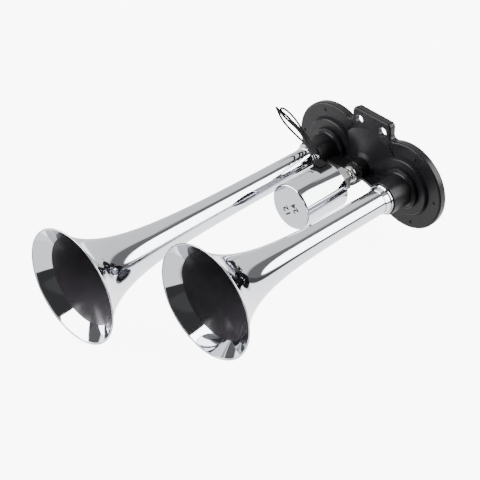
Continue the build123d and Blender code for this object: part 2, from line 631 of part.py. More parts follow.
def corner_radii(route):
    """Arc at each corner: as large as its two runs allow."""
    points = [Vector(*point) for point in route]
    radii = []
    for before, here, after in zip(points, points[1:], points[2:]):
        turn = radians((here - before).get_angle(after - here))
        run = min((here - before).length, (after - here).length)
        radii.append(0.45 * run / sin(turn / 2) * cos(turn / 2))
    return radii


def lead(route):
    radii = corner_radii(route)
    path = FilletPolyline(*route, radius=radii)
    wire = sweep(Plane(origin=path @ 0, z_dir=path % 0) * Circle(LEAD_DIAMETER / 2), path=path)
    section = pi * LEAD_DIAMETER ** 2 / 4
    print("lead", round(path.length, 1), "mm long, tightest arc", round(min(radii), 2),
          "volume ratio", round(wire.volume / section / path.length, 4))
    return wire


# ---------------------------------------------------------------- the part
save("front_housing", front_housing())
save("rear_cover", rear_cover())
save("cover_screws", *cover_screws())
save("inlet_spigot", inlet_spigot())
save("inlet_seal", tube(INLET_THREAD_RADIUS, INLET_BORE, SEAM_Z, SEAM_Z + INLET_SEAL, 0, PORT_Y))
for name, mouth_z, flare in (("long", LONG_MOUTH_Z, LONG_FLARE), ("short", SHORT_MOUTH_Z, SHORT_FLARE)):
    x = SIDES[name]
    save(f"{name}_trumpet", trumpet(x, mouth_z, flare))
    save(f"{name}_ferrule_nut", ferrule_nut(x))
    save(f"{name}_trumpet_seal", tube(NUT_SPIGOT - 0.4, THROAT_RADIUS + 0.5, SEAL_SEAT_Z, ROOT_Z, x))
    front_z = SEAM_Z + DIAPHRAGM_THICKNESS
    save(f"{name}_diaphragm", rod(DIAPHRAGM_RADIUS, SEAM_Z, front_z, x))
    save(f"{name}_gasket", tube(DIAPHRAGM_RADIUS, CHAMBER_RADIUS, SEAM_Z - GASKET_THICKNESS, SEAM_Z, x))
save("valve_body", valve_body())
save("port_seal", port_seal())
save("plunger", plunger())
save("plunger_pad", rod(PAD_RADIUS, SEAT_TOP_Z, SEAT_TOP_Z + PAD_THICKNESS, 0, PORT_Y))
save("plunger_spring", plunger_spring())
save("guide_tube", tube(GUIDE_OUTER, GUIDE_RADIUS, GUIDE_BACK_Z, CAN_ROOM_Z, 0, PORT_Y))
save("fixed_core", rod(GUIDE_RADIUS, CORE_BACK_Z, CAN_ROOM_Z, 0, PORT_Y))
save("yoke_plate", tube(CAN_RADIUS - CAN_WALL, GUIDE_OUTER, CAN_BACK_Z, YOKE_FRONT_Z, 0, PORT_Y))
save("solenoid_can", solenoid_can())
save("bobbin", bobbin())
save("coil", coil())
save("lead_block", lead_block())
save("upper_lead", lead(UPPER_LEAD))
save("lower_lead", lead(LOWER_LEAD))
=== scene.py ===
# %% [markdown]
# # A twin-trumpet air horn
# The horn has two chromed trumpets on one black moulded housing, and a chromed solenoid valve
# between them. Every cell makes one piece or one finish, in the same frame as the CAD model:
# metres, Z up, trumpets pointing along -Y. The origin is midway between the two mounting holes,
# on the plane of the cover's flat back face.

# %% Load the CAD frame
import json
import math

import bmesh
import bpy
from mathutils import Matrix, Vector


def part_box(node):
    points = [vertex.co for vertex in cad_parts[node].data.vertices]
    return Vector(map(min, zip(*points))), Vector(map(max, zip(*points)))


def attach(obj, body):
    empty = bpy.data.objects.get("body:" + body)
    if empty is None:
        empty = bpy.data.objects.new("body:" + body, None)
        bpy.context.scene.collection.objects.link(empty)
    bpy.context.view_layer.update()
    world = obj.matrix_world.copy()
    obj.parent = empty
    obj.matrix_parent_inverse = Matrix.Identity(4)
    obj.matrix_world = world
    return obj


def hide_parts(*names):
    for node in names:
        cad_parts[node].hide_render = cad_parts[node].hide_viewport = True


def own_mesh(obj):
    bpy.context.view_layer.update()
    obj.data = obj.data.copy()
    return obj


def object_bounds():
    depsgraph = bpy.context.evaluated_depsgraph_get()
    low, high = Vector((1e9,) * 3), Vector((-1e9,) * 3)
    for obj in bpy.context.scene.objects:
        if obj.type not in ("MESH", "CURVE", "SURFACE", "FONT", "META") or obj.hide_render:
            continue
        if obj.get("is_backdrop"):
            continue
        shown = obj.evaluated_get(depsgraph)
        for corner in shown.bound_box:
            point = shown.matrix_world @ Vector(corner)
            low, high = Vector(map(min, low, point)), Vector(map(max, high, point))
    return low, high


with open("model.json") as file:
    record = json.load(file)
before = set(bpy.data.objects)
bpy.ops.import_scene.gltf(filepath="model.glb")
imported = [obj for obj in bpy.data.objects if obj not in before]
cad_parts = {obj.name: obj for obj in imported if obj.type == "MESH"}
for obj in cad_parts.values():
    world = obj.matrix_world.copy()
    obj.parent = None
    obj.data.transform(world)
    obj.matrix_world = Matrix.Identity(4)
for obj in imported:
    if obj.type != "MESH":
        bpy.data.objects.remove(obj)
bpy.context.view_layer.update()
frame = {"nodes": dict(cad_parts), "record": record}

nodes = frame["nodes"]
HORN = "horn"
MM = 0.001
WELD = 1e-6            # corners nearer than this, in metres, are one corner


def add(name, data):
    """A new object with this data, put into the scene."""
    piece = bpy.data.objects.new(name, data)
    bpy.context.scene.collection.objects.link(piece)
    return piece


# %% [markdown]
# The real drawing of such a horn measures across the pair, up from the trumpets' axes, and
# forward from the housing's face. Working in those three numbers keeps every cell readable, so
# one helper turns them into the frame's metres. The alternative, typing frame coordinates
# everywhere, hides which numbers belong together.

# %% Measures shared by several pieces
BACK = -8.0            # back face of the cover, forward of the datum
AXIS_DROP = 44.6       # the trumpet axes lie this far below the mounting holes
LONG_X, SHORT_X = -46.1, 46.1
PORT_UP = 2.0          # the solenoid's axis above the trumpets' axes


def at(across, up, forward):
    """A drawing point in millimetres as a place in the frame, in metres."""
    return Vector((across, BACK - forward, up - AXIS_DROP)) * MM


print("long trumpet's axis meets the back face at", at(LONG_X, 0, BACK))

# %% [markdown]
# The camera stands high to the front right, so that the bells face it and the housing lies far
# behind them. It is placed by its own three axes instead of by a tracking constraint, because
# the view has a slight roll that a constraint would take out.

# %% Camera
SENSOR_WIDTH = 36.0    # millimetres
RENDER_WIDTH = 480     # pixels
FOCAL_LENGTH = 1706.35  # pixels of that width
CAMERA_PLACE = (868.3, -1016.3, 869.9)
FAR_CLIP = 100.0
right = Vector((0.6888, 0.7249, 0.0131)).normalized()
forward = Vector((-0.5720, 0.5544, -0.6045)).normalized()
up = right.cross(forward).normalized()
right = forward.cross(up)
camera_data = bpy.data.cameras.new("camera")
camera_data.sensor_width = SENSOR_WIDTH
camera_data.lens = SENSOR_WIDTH * FOCAL_LENGTH / RENDER_WIDTH
camera_data.clip_end = FAR_CLIP
camera = add("camera", camera_data)
axes = Matrix((right, up, -forward)).transposed().to_4x4()
camera.matrix_world = Matrix.Translation(Vector(CAMERA_PLACE) * MM) @ axes
bpy.context.scene.camera = camera
print("camera at", [round(v, 3) for v in camera.location], "lens", round(camera_data.lens, 1))

# %% [markdown]
# Two short leads come out of a block on the solenoid, run over the long trumpet's socket and turn
# back in a tight hairpin, as leads do that were tied for the box. A free lead is one smooth
# line, so each is a NURBS curve over few control points, with a round bevel. Sampled arcs would
# look like bent wire. The hairpins bend to about one diameter, and the two centre lines stay more
# than a diameter apart, so that the leads lie beside each other without cutting in.

# %% Leads
LEAD_RADIUS = 1.0
UPPER_ROUTE = [
    (-9.8, 26.2, 59.0), (-24.0, 26.0, 50.0), (-41.5, 21.2, 38.5), (-54.5, 22.4, 32.9),
    (-64.4, 25.7, 30.7), (-73.7, 27.7, 30.4), (-79.8, 29.8, 29.9), (-83.9, 30.7, 30.0),
    (-87.5, 31.8, 30.1), (-88.1, 34.5, 30.5), (-85.9, 36.4, 30.6), (-81.7, 35.3, 29.1),
    (-76.2, 32.6, 28.1), (-68.6, 28.0, 27.5), (-60.7, 23.5, 28.8), (-48.0, 20.0, 32.0),
    (-34.5, 21.4, 39.6), (-22.0, 24.4, 48.0),
]
LOWER_ROUTE = [
    (-9.8, 26.4, 61.8), (-25.0, 27.4, 52.6), (-42.0, 23.6, 41.5), (-55.8, 23.6, 34.6),
    (-65.4, 25.5, 32.8), (-74.7, 27.8, 32.7), (-82.0, 30.5, 32.8), (-86.9, 32.6, 32.6),
    (-90.0, 33.9, 32.2), (-90.7, 36.2, 33.7), (-88.4, 37.5, 35.9), (-84.9, 36.2, 37.2),
    (-80.0, 32.2, 38.3), (-72.3, 28.1, 39.1), (-62.9, 25.5, 40.0), (-52.6, 24.9, 42.2),
    (-38.5, 27.7, 47.9), (-24.6, 31.0, 55.5), (-16.0, 31.3, 60.5),
]


def lead(name, node, route):
    """A smooth round lead along a route of control points."""
    curve = bpy.data.curves.new(name, "CURVE")
    curve.dimensions = "3D"
    curve.bevel_depth = 1.0    # each point's own radius below scales it
    curve.bevel_resolution = 5
    curve.use_fill_caps = True
    line = curve.splines.new("NURBS")
    line.points.add(len(route) - 1)
    for point, place in zip(line.points, route):
        point.co = (*at(*place), 1.0)
        point.radius = LEAD_RADIUS * MM
    line.order_u = 3
    line.use_endpoint_u = True
    line.resolution_u = 10
    piece = add(name, curve)
    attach(piece, HORN)
    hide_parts(node)
    at(*route[0])
    print(name, "control points:", len(route))
    return piece


upper_lead = lead("lead_upper", "upper_lead", UPPER_ROUTE)
lower_lead = lead("lead_lower", "lower_lead", LOWER_ROUTE)

# %% [markdown]
# Finishes and rules are both written as sums. A small class wraps a node's output, so that
# Python's own operators add the Math nodes, and one method adds any other node with its settings
# and its sockets. The same two serve the shaders and the Geometry Nodes below.

# %% A wrapped socket and a node writer
class Value:
    """One output of a node, on which + - * / ** < > write Math nodes."""

    def __init__(self, writer, socket):
        self.writer = writer
        self.socket = socket

    def _math(self, operation, *terms):
        return self.writer.node("ShaderNodeMath", {"operation": operation}, dict(enumerate(terms)))

    def __add__(self, other): return self._math("ADD", self, other)
    def __radd__(self, other): return self._math("ADD", other, self)
    def __sub__(self, other): return self._math("SUBTRACT", self, other)
    def __rsub__(self, other): return self._math("SUBTRACT", other, self)
    def __mul__(self, other): return self._math("MULTIPLY", self, other)
    def __rmul__(self, other): return self._math("MULTIPLY", other, self)
    def __truediv__(self, other): return self._math("DIVIDE", self, other)
    def __pow__(self, other): return self._math("POWER", self, other)
    def __gt__(self, other): return self._math("GREATER_THAN", self, other)
    def __lt__(self, other): return self._math("LESS_THAN", self, other)
    def __neg__(self): return self._math("MULTIPLY", self, -1.0)
    def do(self, operation, *others): return self._math(operation, self, *others)


class Writer:
    """Adds nodes to one tree and wires them."""

    def __init__(self, tree):
        self.tree = tree

    def raw(self, kind, settings=None, inputs=None):
        """A new node with these settings, its inputs linked or filled in."""
        node = self.tree.nodes.new(kind)
        for name, value in (settings or {}).items():
            setattr(node, name, value)
        for key, value in (inputs or {}).items():
            if isinstance(value, Value):
                self.tree.links.new(value.socket, node.inputs[key])
            else:
                node.inputs[key].default_value = value
        return node

    def node(self, kind, settings=None, inputs=None, output=0):
        """One output of such a node, ready for the operators."""
        return Value(self, self.raw(kind, settings, inputs).outputs[output])


print("operators ready:", [name for name in vars(Value) if name.startswith("__r")])

# %% [markdown]
# A finish is never one flat number. Each one below starts from the same place on the object, the
# Object coordinates, which here are the frame's own metres, and lets a noise at the right scale
# move its roughness, its tint and its bump a little.

# %% A finish from its parts
IOR = 1.5


def finish(name, metallic=0.0, specular=0.5):
    """A new material, its writer, its shader and the place on the object."""
    material = bpy.data.materials.new(name)
    material.use_nodes = True
    write = Writer(material.node_tree)
    shader = material.node_tree.nodes["Principled BSDF"]
    shader.inputs["Metallic"].default_value = metallic
    shader.inputs["IOR"].default_value = IOR
    shader.inputs["Specular IOR Level"].default_value = specular
    place = write.node("ShaderNodeTexCoord", output="Object")
    return material, write, shader, place


def noise(write, place, scale, detail=3.0):
    """Noise from 0 to 1 at so many waves in a metre."""
    return write.node("ShaderNodeTexNoise", {"noise_dimensions": "3D"},
                      {"Vector": place, "Scale": scale, "Detail": detail})


def wire(write, shader, name, value):
    """Links a value to one of a shader's inputs."""
    write.tree.links.new(value.socket, shader.inputs[name])


def bump(write, height, distance):
    """A normal from a height of 0 to 1 that stands for so many metres."""
    return write.node("ShaderNodeBump", None, {"Height": height, "Distance": distance})


def tint(write, factor, dark, light):
    """A colour between two, by a factor from 0 to 1."""
    return write.node("ShaderNodeMix", {"data_type": "RGBA"},
                      {0: factor, 6: (*dark, 1.0), 7: (*light, 1.0)}, output=2)


def shaded(tone, share):
    """A colour made darker or lighter by a share."""
    return tuple(channel * share for channel in tone)


print("finish helpers ready")

# %% [markdown]
# Decorative chrome is a very thin, hard and almost colourless mirror over bright nickel. What
# keeps it from looking like glass is that the sheet below is never quite flat: it ripples a little
# where it was spun and polished. So the finish is a sharp metal with a faint cool tone, a slow
# ripple of a few hundredths of a millimetre, and a haze that comes and goes.

# %% Chrome
RIPPLE = 0.00004       # metres


def chrome(name, rough, tone):
    """A bright mirror with a slow ripple and a haze that comes and goes."""
    material, write, shader, place = finish(name, metallic=1.0)
    cloud = noise(write, place, 35.0)
    haze = noise(write, place, 400.0, 2.0)
    wire(write, shader, "Base Color", tint(write, cloud, tone, shaded(tone, 1.04)))
    wire(write, shader, "Roughness", rough + cloud * 0.02 + haze * 0.01)
    wire(write, shader, "Normal", bump(write, noise(write, place, 60.0, 1.0), RIPPLE))
    return material


CHROME = chrome("chrome", 0.03, (0.545, 0.558, 0.592))
print("made", CHROME.name)

# %% [markdown]
# Hexagons, screws and the spigot are turned from bar and only barrel-plated, so they shine less
# than the trumpets. A fine grain in the roughness and a slow change of tint tell them apart from
# chrome. They stay metallic, so that only the surface differs.

# %% Satin metals
BAR_GRAIN = 0.00003    # metres


def satin(name, tone, rough, grain):
    """A duller metal whose grain has so many waves in a metre."""
    material, write, shader, place = finish(name, metallic=1.0)
    cloud = noise(write, place, 90.0)
    fine = noise(write, place, grain, 4.0)
    wire(write, shader, "Base Color", tint(write, cloud, shaded(tone, 0.92), tone))
    wire(write, shader, "Roughness", rough + cloud * 0.08 + fine * 0.06)
    wire(write, shader, "Normal", bump(write, fine, BAR_GRAIN))
    return material


NICKEL = satin("satin_nickel", (0.46, 0.455, 0.45), 0.26, 1500.0)
STEEL = satin("bright_steel", (0.60, 0.60, 0.61), 0.28, 2200.0)
COPPER = satin("lacquered_copper", (0.62, 0.29, 0.14), 0.3, 2600.0)
print("made", NICKEL.name, STEEL.name, COPPER.name)

# %% [markdown]
# The housing, the cover and the lead block are injection-moulded from black, glass-filled nylon.
# Its skin is satin, with a fine spark-eroded grain, and it is a little glossier where the mould
# was polished by use. Rubber, cable insulation, the painted shade inside the throats and the
# stamping ink are the same kind of finish with other numbers, so one function makes them all.

# %% Moulded plastic, rubber, insulation, painted throat shade and ink
def moulded(name, tone, rough, grain, depth, gloss=0.22):
    """A skin that isn't metal, with a grain of a depth in metres and a strength of gloss."""
    material, write, shader, place = finish(name, specular=gloss)
    cloud = noise(write, place, 60.0)
    fine = noise(write, place, grain, 2.0)
    wire(write, shader, "Base Color", tint(write, cloud, shaded(tone, 0.8), shaded(tone, 1.2)))
    wire(write, shader, "Roughness", rough + cloud * 0.08 + fine * 0.05)
    wire(write, shader, "Normal", bump(write, fine, depth))
    return material


PLASTIC = moulded("black_moulding", (0.0080, 0.0074, 0.0090), 0.26, 1800.0, 0.00003, gloss=0.19)
RUBBER = moulded("black_rubber", (0.018, 0.018, 0.018), 0.70, 2500.0, 0.00005)
CABLE = moulded("cable_insulation", (0.009, 0.009, 0.010), 0.46, 3000.0, 0.00002, gloss=0.14)
BLOCK = moulded("block_moulding", (0.0055, 0.0052, 0.0060), 0.42, 1800.0, 0.00002, gloss=0.08)
# The throat's finish is painted shade. It is a dark, nearly black skin on the bell's inner wall in
# place of chrome, and it stands for the shade deep in the throat.
THROAT_SHADE_PAINT = moulded("throat_painted_shade", (0.040, 0.036, 0.043), 0.14, 900.0, 0.00001, gloss=0.25)
INK = moulded("stamping_ink", (0.012, 0.012, 0.014), 0.55, 3500.0, 0.00001, gloss=0.1)
print("made", PLASTIC.name, RUBBER.name, CABLE.name, BLOCK.name, THROAT_SHADE_PAINT.name, INK.name)

# %% [markdown]
# The housing, the nuts, the valve's neck and all the inner parts are already right as solids, and
# the CAD record says what each is made of. They keep their shapes and only get a finish by that
# name. The lead block is of the housing's plastic, but matt, so it has a finish of its own.

# %% Finishes on the CAD nodes that stay as they are
FINISHES = {"chrome": CHROME, "black_plastic": PLASTIC, "nickel": NICKEL, "steel": STEEL,
            "rubber": RUBBER, "copper": COPPER, "cable": CABLE}
for part in frame["record"]["subparts"]:
    mesh = nodes[part["node"]].data
    mesh.materials.clear()
    mesh.materials.append(FINISHES[part["material_slot"]])
nodes["lead_block"].data.materials[0] = BLOCK
for piece in (upper_lead, lower_lead):
    piece.data.materials.append(CABLE)

# %% [markdown]
# A trumpet is a rule made metal: its radius grows as the sum of two exponentials of the distance
# to the mouth, a slow one for the long throat and a quick one for the bell. Geometry Nodes can
# state that rule directly. A flat grid is rolled up: across the grid runs the angle, along it
# the wall goes out to the mouth on the outside and back on the inside, so the shell is closed.

# %% The flare as a node tree
FLARE_INPUTS = {
    "Axis across": 0.0, "Axis up": 0.0, "Root": 12.0, "Mouth": 300.0, "Tube radius": 11.7,
    "Bell radius": 55.0, "Quick share": 0.2, "Quick length": 20.0, "Slow length": 45.0,
    "Wall": 1.0,
}
FLARE_ROWS = 90
FLARE_SIDES = 160


def new_tree(name, inputs):
    """An empty Geometry Nodes tree with named inputs, and its writer."""
    tree = bpy.data.node_groups.new(name, "GeometryNodeTree")
    tree.interface.new_socket("Geometry", in_out="INPUT", socket_type="NodeSocketGeometry")
    for label, start in inputs.items():
        kind = "NodeSocketInt" if isinstance(start, int) else "NodeSocketFloat"
        tree.interface.new_socket(label, in_out="INPUT", socket_type=kind).default_value = start
    tree.interface.new_socket("Finish", in_out="INPUT", socket_type="NodeSocketMaterial")
    tree.interface.new_socket("Geometry", in_out="OUTPUT", socket_type="NodeSocketGeometry")
    write = Writer(tree)
    entry = tree.nodes.new("NodeGroupInput")
    given = {socket.name: Value(write, socket) for socket in entry.outputs if socket.name}
    return tree, write, given


def close_tree(write, shape, given):
    """Realize Instances, Set Material and the tree's output."""
    real = write.node("GeometryNodeRealizeInstances", None, {0: shape})
    done = write.node("GeometryNodeSetMaterial", None,
                      {"Geometry": real, "Material": given["Finish"]})
    write.raw("NodeGroupOutput", None, {0: done})


def flare_tree():
    """The rule of a trumpet's wall: a grid rolled up and drawn out to the bell."""
    tree, write, given = new_tree("flare", FLARE_INPUTS)
    last = 2 * FLARE_ROWS
    grid = write.node("GeometryNodeMeshGrid", None,
                      {"Vertices X": FLARE_SIDES + 1, "Vertices Y": last + 1})
    place = write.node("GeometryNodeInputPosition")
    parts = write.raw("ShaderNodeSeparateXYZ", None, {0: place})
    angle = (Value(write, parts.outputs[0]) + 0.5) * (2 * math.pi)
    row = (Value(write, parts.outputs[1]) + 0.5) * last
    inside = (row > FLARE_ROWS - 0.5) * (row < last - 0.5)
    run = row.do("MINIMUM", (last - 1) - row).do("MAXIMUM", 0.0) / (FLARE_ROWS - 1)
    ahead = given["Root"] + (given["Mouth"] - given["Root"]) * (1 - (1 - run) ** 1.5)
    back = ahead - given["Mouth"]
    quick = given["Quick share"] * (back / given["Quick length"]).do("EXPONENT")
    slow = (1 - given["Quick share"]) * (back / given["Slow length"]).do("EXPONENT")
    spread = given["Bell radius"] - given["Tube radius"]
    slope = spread * (quick / given["Quick length"] + slow / given["Slow length"])
    lean = (1 + slope * slope) ** 0.5
    radius = given["Tube radius"] + spread * (quick + slow) - inside * given["Wall"] * lean
    across = given["Axis across"] + radius * angle.do("COSINE")
    height = given["Axis up"] + radius * angle.do("SINE")
    spot = write.node("ShaderNodeCombineXYZ", None,
                      {0: across * MM, 1: (BACK - ahead) * MM, 2: (height - AXIS_DROP) * MM})
    rolled = write.node("GeometryNodeSetPosition", None, {"Geometry": grid, "Position": spot})
    welded = write.node("GeometryNodeMergeByDistance", None,
                        {"Geometry": rolled, "Distance": WELD})
    smooth = write.node("GeometryNodeSetShadeSmooth", None, {"Geometry": welded})
    close_tree(write, smooth, given)
    return tree


FLARE = flare_tree()
print("flare tree nodes:", len(FLARE.nodes))

# %% [markdown]
# A rule is handy while it is being changed, but other programs only read plain meshes. So each
# tree is run once, its result is kept as an ordinary mesh with one finish, and the modifier is
# taken off again. A closed shell also has to face outwards, which its signed volume tells.

# %% Turning a tree's result into a plain mesh
def plain_mesh(name, tree, values, material, base=None):
    """Runs a tree with these inputs and keeps its result as an ordinary mesh object."""
    base = base or bpy.data.meshes.new(name)
    piece = add(name, base)
    modifier = piece.modifiers.new("rule", "NODES")
    modifier.node_group = tree
    for item in tree.interface.items_tree:
        if item.in_out == "INPUT" and item.name in values:
            modifier[item.identifier] = values[item.name]
        if item.in_out == "INPUT" and item.name == "Finish":
            modifier[item.identifier] = material
    graph = bpy.context.evaluated_depsgraph_get()
    made = bpy.data.meshes.new_from_object(piece.evaluated_get(graph))
    piece.modifiers.clear()
    piece.data = made
    made.name = name
    for face in made.polygons:
        face.material_index = 0
    made.materials.clear()
    made.materials.append(material)
    return piece


def outward(piece):
    """Makes every face of a closed mesh point outwards."""
    work = bmesh.new()
    work.from_mesh(piece.data)
    if work.calc_volume(signed=True) < 0:
        bmesh.ops.reverse_faces(work, faces=work.faces)
    work.to_mesh(piece.data)
    work.free()


print("helpers ready")

# %% [markdown]
# Beads, rings and the solenoid's can are round about an axis that points forward. On a lathe such
# a piece is one section turned once round, and the same is done here: the corners of the section
# are swept in a circle and joined by faces. Edges between faces that meet at more than about 34
# degrees stay sharp, as they do on a turned part.

# %% Lathe for the pieces that were turned
SHARP_ANGLE = 0.6      # radians


def lathe(name, profile, sides, across, up, material):
    """A closed solid or ring turned about an axis that points forward. profile is a list of
    (radius, forward) corners that goes once round the section."""
    work = bmesh.new()
    rings = []
    for radius, ahead in profile:
        if radius <= 0:
            rings.append([work.verts.new(at(across, up, ahead))])
            continue
        ring = []
        for number in range(sides):
            angle = 2 * math.pi * number / sides
            ring.append(work.verts.new(at(across + radius * math.cos(angle),
                                       up + radius * math.sin(angle), ahead)))
        rings.append(ring)
    for one, two in zip(rings, rings[1:] + rings[:1]):
        if len(one) == 1 and len(two) == 1:
            continue
        for number in range(sides):
            after = (number + 1) % sides
            corners = [one[number % len(one)], one[after % len(one)],
                       two[after % len(two)], two[number % len(two)]]
            corners = list(dict.fromkeys(corners))
            work.faces.new(corners)
    bmesh.ops.recalc_face_normals(work, faces=work.faces)
    for edge in work.edges:
        edge.smooth = edge.calc_face_angle(0.0) < SHARP_ANGLE
    for face in work.faces:
        face.smooth = True
    mesh = bpy.data.meshes.new(name)
    work.to_mesh(mesh)
    work.free()
    piece = add(name, mesh)
    mesh.materials.append(material)
    return piece


def arc(middle, radius, start, end, steps):
    """Corners of a round in a lathe profile; angles in degrees from the radial direction."""
    points = []
    for number in range(steps + 1):
        angle = math.radians(start + (end - start) * number / steps)
        points.append((middle[0] + radius * math.cos(angle), middle[1] + radius * math.sin(angle)))
    return points


def join(name, pieces):
    """One mesh from several, keeping their smooth shading."""
    work = bmesh.new()
    for piece in pieces:
        work.from_mesh(piece.data)
    mesh = bpy.data.meshes.new(name)
    for material in pieces[0].data.materials:
        mesh.materials.append(material)
    work.to_mesh(mesh)
    work.free()
    for piece in pieces:
        bpy.data.objects.remove(piece)
    return add(name, mesh)


print("lathe ready")

# %% [markdown]
# A bell of this kind is spun from brass sheet over a former and its edge is turned over, which
# leaves a thin round bead. So each trumpet is three shapes: the rolled wall from the rule above, a
# bead at the mouth, and a short thick ring at the root where the wall sits on its nut.

# %% The two trumpets
BELL, BEAD, WALL = 55.0, 0.6, 0.8
WALL_INSET = 0.2       # the wall's edge ends this far inside the bead's outer round
ROOT, ROOT_THICK, ROOT_INNER, ROOT_OUTER = 12.0, 1.5, 10.7, 13.6
BEAD_SIDES, BEAD_CORNERS, ROOT_SIDES = 160, 24, 96
SHADE_START = 12.0          # the chrome rim ends and the painted shade starts this far into the mouth


def paint_throat_shade(wall, across, mouth):
    """Paints shade into the bell: inner faces deeper than the chrome rim get the dark throat
    finish.
    """
    wall.data.materials.append(THROAT_SHADE_PAINT)
    centre = at(across, 0.0, 0.0)
    edge = at(across, 0.0, mouth - SHADE_START).y
    count = 0
    for face in wall.data.polygons:
        arm = face.center - centre
        inward = face.normal.x * arm.x + face.normal.z * arm.z < 0
        if inward and face.center.y > edge:
            face.material_index = 1
            count += 1
    return count


TRUMPETS = {
    # node: across, mouth forward, quick share, quick length, slow length
    "long_trumpet": (LONG_X, 321.7, 0.258, 18.8, 50.5),
    "short_trumpet": (SHORT_X, 252.1, 0.155, 24.4, 40.9),
}
for node, (across, mouth, share, quick, slow) in TRUMPETS.items():
    wall = plain_mesh(node + "_wall", FLARE, {
        "Axis across": across, "Mouth": mouth - BEAD, "Root": ROOT, "Quick share": share,
        "Quick length": quick, "Slow length": slow, "Bell radius": BELL - WALL_INSET,
        "Wall": WALL,
    }, CHROME)
    outward(wall)
    shade_painted_count = paint_throat_shade(wall, across, mouth)
    section = arc((BELL - BEAD, mouth - BEAD), BEAD, 0, 360 - 360 / BEAD_CORNERS,
                  BEAD_CORNERS - 1)
    bead = lathe(node + "_bead", section, BEAD_SIDES, across, 0.0, CHROME)
    ring = [(ROOT_INNER, ROOT), (ROOT_OUTER, ROOT), (ROOT_OUTER, ROOT + ROOT_THICK),
            (ROOT_INNER, ROOT + ROOT_THICK)]
    root = lathe(node + "_root", ring, ROOT_SIDES, across, 0.0, CHROME)
    trumpet = join(node + "_spun", [wall, bead, root])
    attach(trumpet, HORN)
    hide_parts(node)
    print(node, "faces:", len(trumpet.data.polygons), "of them dull:", shade_painted_count)

# %% [markdown]
# The solenoid's can is deep-drawn: a flat disc is pressed into a cup, so its closed end keeps one
# even round where end and side meet. Turning that section about its axis gives the same shape.

# %% The solenoid's can
CAN_RADIUS, CAN_WALL = 22.6, 1.0
CAN_START, CAN_END = 51.5, 104.0
LIP_ROUND, END_ROUND = 0.5, 2.0
CAN_SIDES = 192
CAN_PROFILE = [
    (CAN_RADIUS - CAN_WALL, CAN_START),
    *arc((CAN_RADIUS - LIP_ROUND, CAN_START + LIP_ROUND), LIP_ROUND, -90, 0, 4),
    *arc((CAN_RADIUS - END_ROUND, CAN_END - END_ROUND), END_ROUND, 0, 90, 10),
    (0.0, CAN_END), (0.0, CAN_END - CAN_WALL), (CAN_RADIUS - CAN_WALL, CAN_END - CAN_WALL),
]
can = lathe("can_drawn", CAN_PROFILE, CAN_SIDES, 0.0, PORT_UP, CHROME)
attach(can, HORN)
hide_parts("solenoid_can")
print("can faces:", len(can.data.polygons))

# %% [markdown]
# Ten self-tapping screws hold the cover on. One screw is made by hand, with a cross recess in its
# flat head, and Geometry Nodes put it on two circles of points. No fitter leaves the recesses in
# line, so each one is turned by a random angle of a fixed seed.

# %% Cover screws
HEAD_RADIUS, HEAD_HEIGHT, HEAD_ROUND = 3.0, 1.8, 0.5
SHANK_RADIUS, SHANK_END = 1.4, 7.0
ARM, ARM_HALF, RECESS, RECESS_SHRINK = 1.75, 0.42, 1.2, 0.45
CIRCLE_SIDES = 40
SCREW_INPUTS = {"Across": SHORT_X, "Circle": 36.5, "Turn": 0.0, "Screws": 5, "Seed": 4}
CROSS = [(ARM_HALF, ARM_HALF), (ARM_HALF, ARM), (-ARM_HALF, ARM), (-ARM_HALF, ARM_HALF),
         (-ARM, ARM_HALF), (-ARM, -ARM_HALF), (-ARM_HALF, -ARM_HALF), (-ARM_HALF, -ARM),
         (ARM_HALF, -ARM), (ARM_HALF, -ARM_HALF), (ARM, -ARM_HALF), (ARM, ARM_HALF)]


def screw_mesh():
    """One screw about the Y axis, its head's flat face at the origin and facing backwards."""
    work = bmesh.new()

    def loop(points, depth):
        return [work.verts.new(Vector((x, -depth, z)) * MM) for x, z in points]

    def circle(radius):
        turns = [2 * math.pi * number / CIRCLE_SIDES for number in range(CIRCLE_SIDES)]
        return [(radius * math.cos(turn), radius * math.sin(turn)) for turn in turns]

    rings = [loop(circle(HEAD_RADIUS - HEAD_ROUND), 0.0), loop(circle(HEAD_RADIUS), HEAD_ROUND),
             loop(circle(HEAD_RADIUS), HEAD_HEIGHT), loop(circle(SHANK_RADIUS), HEAD_HEIGHT),
             loop(circle(SHANK_RADIUS), SHANK_END)]
    mouth = loop(CROSS, 0.0)
    bottom = loop([(x * RECESS_SHRINK, z * RECESS_SHRINK) for x, z in CROSS], RECESS)
    for one, two in [*zip(rings, rings[1:]), (mouth, bottom)]:
        for number in range(len(one)):
            after = (number + 1) % len(one)
            work.faces.new((one[number], one[after], two[after], two[number]))
    work.faces.new(rings[-1])
    work.faces.new(bottom)
    work.edges.index_update()
    rims = [edge for edge in work.edges if len(edge.link_faces) == 1]
    bmesh.ops.triangle_fill(work, use_beauty=True, edges=rims)
    bmesh.ops.recalc_face_normals(work, faces=work.faces)
    mesh = bpy.data.meshes.new("screw")
    work.to_mesh(mesh)
    work.free()
    return mesh


